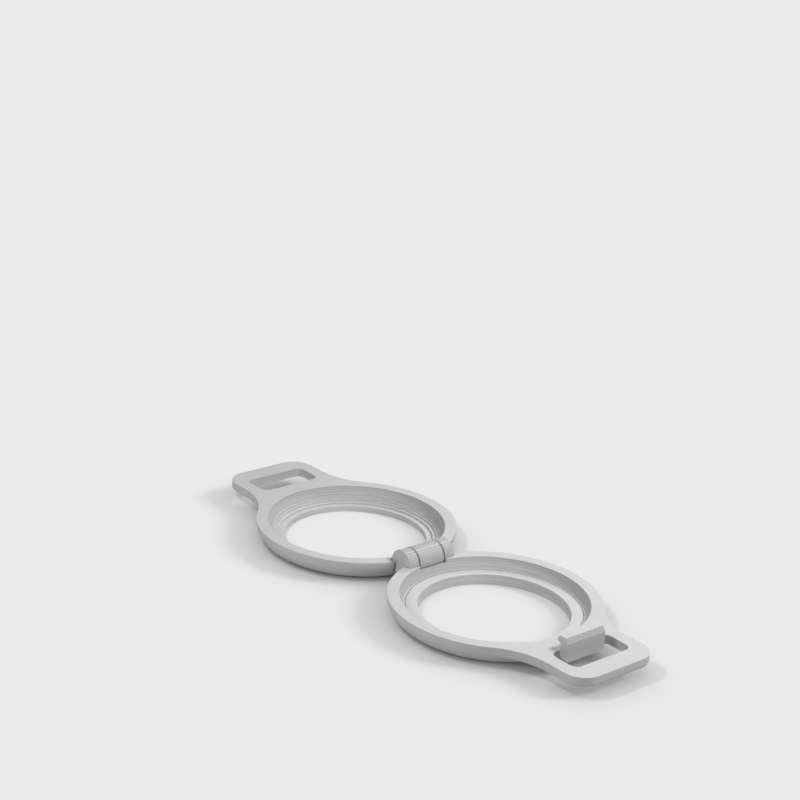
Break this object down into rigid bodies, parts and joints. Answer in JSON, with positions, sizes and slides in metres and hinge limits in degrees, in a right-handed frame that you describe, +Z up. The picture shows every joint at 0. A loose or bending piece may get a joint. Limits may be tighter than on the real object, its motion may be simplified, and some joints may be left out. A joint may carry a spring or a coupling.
{
  "type": "tracker tag holder",
  "caption": "Folding round holder for a coin-shaped tracker tag: hinged ring halves with dished, windowed seats and strap-slot lugs, closed by a hooked snap catch.",
  "frame": {"origin": "on the surface that the open holder lies on, under the middle of the hinge", "axes": "+X from the hinge across the base to its catch, +Y along the hinge, +Z up out of the seats"},
  "size_m": [0.0962, 0.0366, 0.0065],
  "materials": {
    "printed_plastic": "matte light grey, with fine printed layer lines",
    "pin_plastic": "matte dark grey, drawn smooth"
  },
  "bodies": {
    "base": {"base_shell": "printed_plastic", "hinge_pin": "pin_plastic", "spacer_ring": "printed_plastic"},
    "lid": {"lid_shell": "printed_plastic"},
    "catch": {"snap_catch": "printed_plastic"}
  },
  "joints": [
    {"name": "fold", "type": "hinge", "parent": "base", "child": "lid", "pos_m": [0, 0, 0.00395], "axis": [0, 1, 0], "range_deg": [0, 180]},
    {"name": "catch_flex", "type": "hinge", "parent": "base", "child": "catch", "pos_m": [0.0384, 0, 0.0023], "axis": [0, 1, 0], "range_deg": [0, 12], "stiffness_Nm_per_rad": 0.08}
  ]
}
